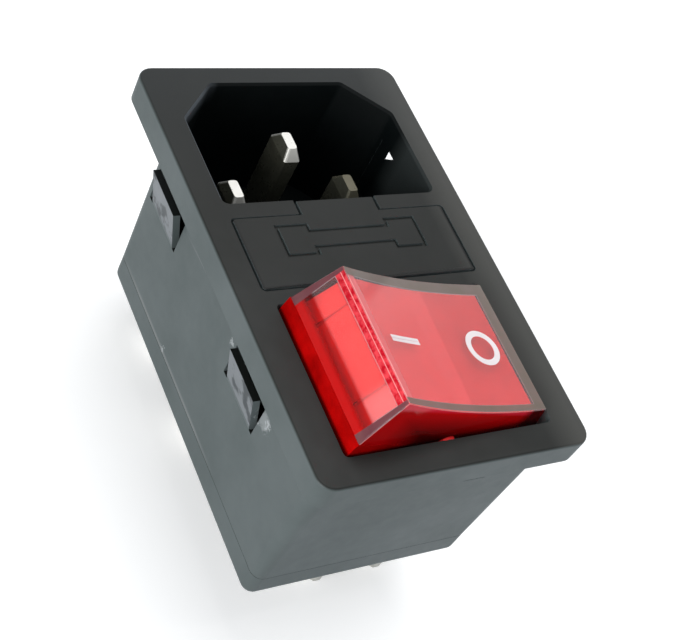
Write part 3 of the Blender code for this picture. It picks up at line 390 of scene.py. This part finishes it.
def clear_plastic(name):
    """The rocker's clear cap: a thin haze, grey rims painted with the shade of the dark well seen through them,
    painted refraction and highlights along its edges, and painted shade on its deep red long side.
    """
    s = Shader(name)
    x, y, z = s.axes()
    top, end, long_side = rocker_faces(s)
    cloud = s.ramp(s.noise(0.35, 3, 0.55), 0.3, 0.7)
    ragged = s.ramp(s.noise(1.6, 3, 0.7), 0.4, 0.6)

    # Painted shade: grey-brown rims for the dark well seen through the clear walls.
    far_rim = s.ramp(s.total(y, s.product(x, 0.02)), CORE_HALF_Y - 0.95, CORE_HALF_Y - 0.7)
    near_rim = s.fall(y, -CORE_HALF_Y + 0.25, -CORE_HALF_Y + 0.35)
    right_rim = s.ramp(x, RIM_RIGHT_X - 0.1, RIM_RIGHT_X + 0.1)
    rim = s.product(top, s.most(far_rim, near_rim, right_rim))
    # Painted refraction: a red strip along the crown's left edge, with a painted highlight line at the edge
    # itself.
    crown = s.product(top, s.fall(x, -CORE_HALF_X + 0.95, -CORE_HALF_X + 1.05))
    edge_highlight = s.product(crown, s.fall(x, -CORE_HALF_X + 0.18, -CORE_HALF_X + 0.28))
    # Painted shade: dark strips along the sides of the end faces, for the dark well seen through the clear walls'
    # edges.
    strip = s.product(end, s.ramp(s.size(y), CORE_HALF_Y - 0.1, CORE_HALF_Y))
    # Painted shade: a ragged dark red strip at the top of the end faces, with a painted highlight line in it.
    brow = s.product(end, s.ramp(z, BROW_Z - 0.05, BROW_Z + 0.05))
    brow_highlight = s.product(brow, s.window(z, BROW_HIGHLIGHT_Z - 0.02, BROW_HIGHLIGHT_Z + 0.02, 0.04))
    # Deeper red towards the foot of the end faces, and more opaque below.
    deeper_foot = s.product(end, s.fall(z, 2.2, 2.5))
    foot = s.product(end, s.fall(z, 1.0, 1.7))

    # The colours below lay on the painted refraction, highlights and shade set out by the masks above.
    colour = s.mixed(cloud, (0.96, 0.80, 0.81), (0.94, 0.77, 0.79))
    colour = s.mixed(crown, colour, (0.87, 0.24, 0.25))
    colour = s.mixed(edge_highlight, colour, (0.95, 0.40, 0.40))
    colour = s.mixed(rim, colour, s.mixed(cloud, (0.235, 0.180, 0.165), (0.200, 0.165, 0.135)))
    colour = s.mixed(brow, colour, s.mixed(ragged, (0.42, 0.002, 0.012), (0.66, 0.050, 0.065)))
    colour = s.mixed(brow_highlight, colour, (0.90, 0.42, 0.42))
    colour = s.mixed(deeper_foot, colour, (0.45, 0.002, 0.002))
    colour = s.mixed(strip, colour, s.mixed(cloud, (0.120, 0.035, 0.045), (0.160, 0.060, 0.065)))

    # Painted shade on the long side: near black where it is not lit, a lighter red near its top, and near black
    # again at its right end.
    lit = s.most(s.ramp(z, 1.6, 4.4), s.fall(x, -9.0, -4.5))
    deep = s.mixed(lit, (0.035, 0.0002, 0.0002), (0.36, 0.001, 0.002))
    deep = s.mixed(s.ramp(z, 4.9, 5.3), deep, (0.48, 0.015, 0.035))
    deep = s.mixed(s.ramp(x, 7.0, 8.4), deep, (0.045, 0.0005, 0.001))
    colour = s.mixed(long_side, colour, deep)

    haze = s.product(s.total(0.105, s.product(cloud, 0.015)), s.ramp(top, 0, 1, 0.5, 1.0))
    haze = s.total(haze, s.product(end, s.ramp(y, -5.2, -4.2, 0.07, 0.0)))
    painted = s.product(s.most(rim, strip, brow, long_side, foot), 0.85)
    haze = s.most(haze, painted, s.product(crown, 0.7))
    s.shader(Base_Color=colour, Transmission_Weight=s.maths("SUBTRACT", 1.0, haze),
             Roughness=s.ramp(cloud, 0, 1, 0.06, 0.12), IOR=1.3, Specular_IOR_Level=0.25)
    return s.material


def red_plastic(name):
    """The rocker's red body: translucent, deeper below the cap's foot, with painted shade on its long side, in its
    end grooves and along its ends' upper edge, and painted light on its crown.
    """
    s = Shader(name)
    x, y, z = s.axes()
    top, end, long_side = rocker_faces(s)
    cloud = s.ramp(s.noise(0.3, 3, 0.6), 0.35, 0.65)

    # Painted light: the crown is painted lighter left of a crease than right of it, as two facets lit differently,
    # with a painted highlight just left of the crease.
    wavy = s.ramp(s.noise(0.5, 2, 0.5), 0.3, 0.7, -0.15, 0.15)
    from_crease = s.total(x, s.product(y, CREASE_SKEW), wavy)
    left = s.fall(from_crease, CREASE_X - 0.15, CREASE_X + 0.15)
    band = s.window(from_crease, CREASE_X - 2.4, CREASE_X, 0.3)
    upper = s.mixed(cloud, (0.66, 0.016, 0.016), (0.74, 0.024, 0.024))
    upper = s.mixed(left, upper, s.mixed(cloud, (0.78, 0.026, 0.028), (0.84, 0.036, 0.038)))
    upper = s.mixed(s.product(band, 0.5), upper, (0.84, 0.055, 0.058))

    core = s.mixed(cloud, (0.88, 0.024, 0.020), (0.95, 0.036, 0.028))
    core = s.mixed(top, core, upper)
    # Painted shade in the grooves of the end faces.
    groove = s.window(s.size(y), GROOVE_Y - 0.12, GROOVE_Y + 0.12, 0.1)
    core = s.mixed(s.product(end, groove, 0.75), core, (0.50, 0.001, 0.001))
    # Painted shade along the upper edge of the end faces; then lighter towards their near corner and darker
    # towards their foot.
    core = s.mixed(s.product(end, s.ramp(z, 4.2, 4.6)), core, (0.40, 0.001, 0.004))
    core = s.mixed(s.product(end, s.ramp(y, -5.2, -4.4, 0.4, 0.0)), core, (1.0, 0.12, 0.11))
    core = s.mixed(s.product(end, s.ramp(z, 1.1, 1.7, 0.6, 0.0)), core, (0.62, 0.002, 0.002))
    # Painted shade: the long side is painted a very dark red.
    core = s.mixed(long_side, core, (0.10, 0.0005, 0.002))

    skirt = s.mixed(cloud, (0.22, 0.0005, 0.0005), (0.38, 0.001, 0.001))
    # Painted shade: the skirt's long side is painted near black towards its right.
    low = s.mixed(s.ramp(x, -9.5, -5.0), (0.24, 0.0005, 0.0005), (0.010, 0.0002, 0.0002))
    skirt = s.mixed(long_side, skirt, low)
    colour = s.mixed(s.ramp(z, CAP_FOOT_Z - 0.12, CAP_FOOT_Z - 0.08), skirt, core)
    s.shader(Base_Color=colour, Roughness=s.ramp(cloud, 0, 1, 0.35, 0.5), Specular_IOR_Level=0.03)
    s.shader(Subsurface_Weight=0.3, Subsurface_Radius=(1.0 * MM, 0.1 * MM, 0.1 * MM))
    s.shader(Subsurface_Scale=1.0)
    return s.material


def glass(name):
    """Clear fuse or lamp glass."""
    s = Shader(name)
    tint = s.ramp(s.noise(0.6, 2, 0.5), 0.3, 0.7)
    s.shader(Base_Color=s.mixed(tint, (0.93, 0.97, 0.96), (0.97, 0.99, 0.99)),
             Roughness=s.ramp(tint, 0, 1, 0.01, 0.04), Transmission_Weight=1.0)
    return s.material


def pale_plastic(name, colour, rough=(0.35, 0.5)):
    """A plain moulding, lacquer or print, a little uneven."""
    s = Shader(name)
    cloud = s.noise(1.2, 3, 0.5)
    s.shader(Base_Color=s.mixed(cloud, colour, tuple(0.88 * c for c in colour)),
             Roughness=s.ramp(cloud, 0.3, 0.7, *rough))
    s.bump(cloud, 0.01 * MM, 0.3)
    return s.material


HOUSING = black_nylon("housing_nylon", housing_marks)
INSIDE = dead_black("inlet_inside")
BLACK = black_nylon("black_nylon")
DRAWER = black_nylon("drawer_nylon", drawer_gap_shade)
NICKEL = plated("bright_nickel", (0.86, 0.85, 0.80), (0.14, 0.26), drawn=0.0)
PIN = pin_metal("pin_nickel")
COPPER = plated("contact_strip", (0.72, 0.45, 0.28), (0.2, 0.4))
SILVER = plated("contact_silver", (0.85, 0.85, 0.83), (0.15, 0.3))
STEEL = plated("spring_wire", (0.5, 0.5, 0.52), (0.2, 0.35))
CLEAR = clear_plastic("clear_cap_plastic")
RED = red_plastic("red_body_plastic")
GLASS = glass("fuse_glass")
NYLON = pale_plastic("natural_nylon", (0.8, 0.8, 0.76))
CERAMIC = pale_plastic("resistor_lacquer", (0.6, 0.45, 0.3))
WHITE = pale_plastic("white_print", (0.93, 0.85, 0.86))

FINISHES = {
    "housing": HOUSING, "rear_cover": BLACK, "fuse_drawer": DRAWER,
    "rocker_cap": CLEAR, "rocker_body": RED,
    "line_pin": PIN, "neutral_pin": PIN, "earth_pin": PIN,
    "fuse_contact_line": NICKEL, "fuse_contact_load": NICKEL,
    "fuse_tube": GLASS, "spare_fuse_tube": GLASS, "fuse_wire": COPPER, "spare_fuse_wire": COPPER,
    "fuse_cap_left": NICKEL, "fuse_cap_right": NICKEL,
    "spare_fuse_cap_left": NICKEL, "spare_fuse_cap_right": NICKEL,
    "neon_lamp": GLASS, "lamp_resistor": CERAMIC,
}
for pole in ("line", "neutral"):
    FINISHES[f"plunger_{pole}"] = NYLON
    FINISHES[f"plunger_spring_{pole}"] = STEEL
    FINISHES[f"moving_contact_{pole}"] = COPPER
    FINISHES[f"moving_button_{pole}"] = SILVER
    FINISHES[f"fixed_button_{pole}"] = SILVER
    FINISHES[f"switch_{pole}_in"] = NICKEL
    FINISHES[f"switch_{pole}_out"] = NICKEL
for name, finish in FINISHES.items():
    materials = NODES[name].data.materials
    materials.clear()
    materials.append(finish)


def own_mesh(node, place):
    """A copy of a CAD node's mesh without its needless edges, with its origin at place."""
    bm = bmesh.new()
    bm.from_mesh(NODES[node].data)
    bm.transform(place.inverted())
    bmesh.ops.remove_doubles(bm, verts=bm.verts, dist=0.002 * MM)
    bmesh.ops.dissolve_limit(bm, angle_limit=math.radians(0.5), verts=bm.verts, edges=bm.edges)
    mesh = bpy.data.meshes.new(f"{node}_form")
    bm.to_mesh(mesh)
    bm.free()
    mesh.materials.append(FINISHES[node])
    return mesh


def smooth(mesh, crease):
    """Smooth shading that breaks at edges sharper than crease, in degrees."""
    mesh.shade_smooth()
    mesh.set_sharp_from_angle(angle=math.radians(crease))


def shown(name, mesh, body, place=Matrix()):
    """Puts a mesh into the scene at place, as a piece that moves with a body."""
    piece = bpy.data.objects.new(name, mesh)
    piece.matrix_world = place
    bpy.context.scene.collection.objects.link(piece)
    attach(piece, body)
    return piece


def softened(node, name, width, place=Matrix()):
    """A CAD node with rounded edges, which stands for it."""
    mesh = own_mesh(node, place)
    smooth(mesh, 14)
    piece = shown(name, mesh, BODY_OF[node], place)
    edge = piece.modifiers.new("edge", "BEVEL")
    edge.width = width
    edge.segments = 2
    edge.limit_method = "ANGLE"
    edge.angle_limit = math.radians(30)
    edge.harden_normals = True
    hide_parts(node)
    return piece


def in_inlet(face):
    """Whether a face is in the inlet: within its walls, and not turned away from its middle."""
    x, y, z = face.center / MM
    middle_y = (INLET_LOW_Y + INLET_HIGH_Y) / 2
    outward = x * face.normal.x + (y - middle_y) * face.normal.y
    across = abs(x) < INLET_HALF_X + 0.3
    along = INLET_LOW_Y - 0.05 < y < INLET_HIGH_Y + 0.3
    return across and along and z < FACE_Z - 0.05 and outward < 1


def housing():
    """The housing's moulding, painted dead black inside its inlet as painted shade, and closed down onto the rear
    cover's seam.
    """
    mesh = softened("housing", "housing_moulding", 0.12 * MM).data
    mesh.materials.append(INSIDE)
    for face in mesh.polygons:
        if in_inlet(face):
            face.material_index = 1
    for vertex in mesh.vertices:
        if vertex.co.z < SEAM_Z * MM + 0.01 * MM:
            vertex.co.z -= SEAM_CLOSE * MM


def fuse_drawer():
    """The drawer's moulding, with the border of its plate drawn in."""
    mesh = softened("fuse_drawer", "fuse_drawer_moulding", 0.10 * MM).data
    for vertex in mesh.vertices:
        if vertex.co.z > FACE_Z * MM - DRAWER_PLATE * MM:
            if abs(vertex.co.x) > (DRAWER_HIGH.x - 0.05) * MM:
                vertex.co.x -= math.copysign(GAP_MORE * MM, vertex.co.x)
            if vertex.co.y < (DRAWER_LOW.y + 0.05) * MM:
                vertex.co.y += GAP_MORE * MM


def drafted(mesh):
    """Leans a rocker piece's long sides in towards its crown, as the moulding's draft does."""
    for vertex in mesh.vertices:
        rise = max(0.0, vertex.co.z / MM - CAP_FOOT_Z) / (CAP_CROWN_Z - CAP_FOOT_Z)
        vertex.co.y *= 1 - CAP_DRAFT * rise


def rocker_body():
    """The red body in the rocker's own frame."""
    drafted(softened("rocker_body", "rocker_body_moulding", 0.10 * MM, ROCKER_FRAME).data)


def rocker_cap():
    """The clear cap in the rocker's own frame, with its cavity and foot closed onto the red body."""
    mesh = own_mesh("rocker_cap", ROCKER_FRAME)
    for vertex in mesh.vertices:
        x, y, z = vertex.co / MM
        if abs(y) < CAVITY_HALF_Y:
            vertex.co.y -= math.copysign(CAVITY_CLOSE * MM, y)
            if abs(x) > CORE_HALF_X - 1:
                vertex.co.x -= math.copysign(CAVITY_CLOSE * MM, x)
            if z > CAP_FOOT_Z + 3:
                vertex.co.z -= CAVITY_CLOSE * MM
        if z < CAP_FOOT_Z + 0.2:
            vertex.co.z -= CAP_FOOT_SINK * MM
    drafted(mesh)
    smooth(mesh, 30)
    piece = shown("rocker_cap_moulding", mesh, "rocker", ROCKER_FRAME)
    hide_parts("rocker_cap")
    return mesh


def latch_web(side, name):
    """The thin web behind an inlet latch's window, with the notch that lets light through."""
    low, high = TONGUE_ROOT_Z, FACE_Z - FLANGE_THICK
    outline = [(WINDOW_LOW_Y, low), (WINDOW_HIGH_Y, low), (WINDOW_HIGH_Y, high), (NOTCH_HIGH_Y, high),
               (NOTCH_TIP_Y, high - NOTCH_DEEP), (NOTCH_LOW_Y, high), (WINDOW_LOW_Y, high)]
    bm = bmesh.new()
    rows = [[bm.verts.new((side * x * MM, y * MM, z * MM)) for y, z in outline]
            for x in (WEB_INNER_X, WEB_OUTER_X)]
    bm.faces.new(rows[0])
    bm.faces.new(rows[1])
    join_rings(bm, rows[0], rows[1])
    return shown(name, finished_mesh(bm, name, INSIDE), "case")


def join_rings(bm, first, second):
    """Faces between two rings of as many points."""
    for index in range(len(first)):
        after = (index + 1) % len(first)
        bm.faces.new((first[index], first[after], second[after], second[index]))


def finished_mesh(bm, name, finish):
    """A mesh from a bmesh, which is freed, with its faces turned outwards."""
    bmesh.ops.recalc_face_normals(bm, faces=bm.faces)
    mesh = bpy.data.meshes.new(name)
    bm.to_mesh(mesh)
    bm.free()
    mesh.materials.append(finish)
    return mesh


def surface_of(mesh):
    """A mesh's surface, to lay prints on."""
    bm = bmesh.new()
    bm.from_mesh(mesh)
    surface = BVHTree.FromBMesh(bm)
    bm.free()
    return surface


def printed(name, outer, inner, surface):
    """A print on the cap, between an outer and an inner ring of points laid on its surface."""
    bm = bmesh.new()
    layers = []
    for lift in (PRINT_THICK, 0):
        for ring in (outer, inner):
            row = []
            for x, y in ring:
                top = surface.ray_cast(Vector((x, y, PRINT_ABOVE)), Vector((0, 0, -1)))[0]
                row.append(bm.verts.new((x, y, top.z + lift)))
            layers.append(row)
    upper_outer, upper_inner, lower_outer, lower_inner = layers
    join_rings(bm, upper_outer, upper_inner)
    join_rings(bm, upper_inner, lower_inner)
    join_rings(bm, lower_inner, lower_outer)
    join_rings(bm, lower_outer, upper_outer)
    return shown(name, finished_mesh(bm, name, WHITE), "rocker", ROCKER_FRAME)


def circle(radius, steps=64):
    """The ring mark's outline at a radius."""
    turns = [math.tau * index / steps for index in range(steps)]
    return [(RING_X + radius * math.cos(turn), RING_Y + radius * math.sin(turn)) for turn in turns]


def bar(half, steps=12):
    """The bar mark's outline at half its width, walked round once."""
    length = BAR_TO_X - BAR_FROM_X
    there = [(BAR_FROM_X + length * index / steps, BAR_Y - half) for index in range(steps + 1)]
    back = [(BAR_TO_X - length * index / steps, BAR_Y + half) for index in range(steps + 1)]
    return there + back


housing()
latch_web(-1, "latch_web_left")
latch_web(1, "latch_web_right")
softened("rear_cover", "rear_cover_moulding", 0.14 * MM)
fuse_drawer()
rocker_body()
cap_surface = surface_of(rocker_cap())
printed("mark_off", circle(RING_OUTER), circle(RING_INNER), cap_surface)
printed("mark_on", bar(BAR_WIDTH / 2), bar(BAR_HEART), cap_surface)


def floor_material():
    """A pale matt floor that keeps the object's shadow and shows as white."""
    material = bpy.data.materials.new("pale_floor")
    material.use_nodes = True
    tree = material.node_tree
    tree.nodes.clear()
    diffuse = tree.nodes.new("ShaderNodeBsdfDiffuse")
    diffuse.inputs["Color"].default_value = (*FLOOR_GREY, 1)
    path = tree.nodes.new("ShaderNodeLightPath")
    seen = tree.nodes.new("ShaderNodeMath")
    seen.operation = "MULTIPLY"
    seen.inputs[1].default_value = FLOOR_GLOW
    glow = tree.nodes.new("ShaderNodeEmission")
    add = tree.nodes.new("ShaderNodeAddShader")
    out = tree.nodes.new("ShaderNodeOutputMaterial")
    tree.links.new(path.outputs["Is Camera Ray"], seen.inputs[0])
    tree.links.new(seen.outputs[0], glow.inputs["Strength"])
    tree.links.new(diffuse.outputs[0], add.inputs[0])
    tree.links.new(glow.outputs[0], add.inputs[1])
    tree.links.new(add.outputs[0], out.inputs["Surface"])
    return material


def add_floor():
    """A wide floor just under the object."""
    mesh = bpy.data.meshes.new("floor")
    corners = [(-FLOOR_HALF, -FLOOR_HALF, 0), (FLOOR_HALF, -FLOOR_HALF, 0),
               (FLOOR_HALF, FLOOR_HALF, 0), (-FLOOR_HALF, FLOOR_HALF, 0)]
    mesh.from_pydata(corners, [], [(0, 1, 2, 3)])
    mesh.materials.append(floor_material())
    floor = bpy.data.objects.new("floor", mesh)
    floor.location.z = -FLOOR_DROP
    bpy.context.scene.collection.objects.link(floor)


def add_world():
    """A world that is white where it is seen or reflected, and dimmer as a light."""
    made = bpy.data.worlds.new("studio")
    made.use_nodes = True
    bpy.context.scene.world = made
    tree = made.node_tree
    path = tree.nodes.new("ShaderNodeLightPath")
    seen = tree.nodes.new("ShaderNodeMath")
    seen.operation = "MAXIMUM"
    tree.links.new(path.outputs["Is Camera Ray"], seen.inputs[0])
    tree.links.new(path.outputs["Is Glossy Ray"], seen.inputs[1])
    mix = tree.nodes.new("ShaderNodeMix")
    mix.data_type = "RGBA"
    mix.inputs["A"].default_value = (*WORLD_LIGHT, 1)
    mix.inputs["B"].default_value = (*WORLD_SEEN, 1)
    tree.links.new(seen.outputs[0], mix.inputs["Factor"])
    tree.links.new(mix.outputs["Result"], tree.nodes["Background"].inputs["Color"])


def lamp(name, place, target, size, power):
    """A round area lamp at place, turned to target."""
    light = bpy.data.lights.new(name, "AREA")
    light.shape = "DISK"
    light.size = size
    light.energy = power
    made = bpy.data.objects.new(name, light)
    made.location = place
    made.rotation_euler = (Vector(target) - Vector(place)).to_track_quat("-Z", "Y").to_euler()
    bpy.context.scene.collection.objects.link(made)


def camera():
    """The photograph's camera."""
    data = bpy.data.cameras.new("photo_camera")
    data.sensor_width = CAMERA_SENSOR
    data.sensor_fit = "HORIZONTAL"
    data.lens = CAMERA_LENS
    data.shift_y = CAMERA_SHIFT_Y
    data.clip_start = CAMERA_NEAREST
    made = bpy.data.objects.new("photo_camera", data)
    made.location = CAMERA_PLACE
    made.rotation_euler = [math.radians(angle) for angle in CAMERA_TURN]
    bpy.context.scene.collection.objects.link(made)
    bpy.context.scene.camera = made


add_floor()
add_world()
for lamp_facts in LAMPS:
    lamp(*lamp_facts)
camera()
bpy.context.scene.view_settings.view_transform = "Standard"
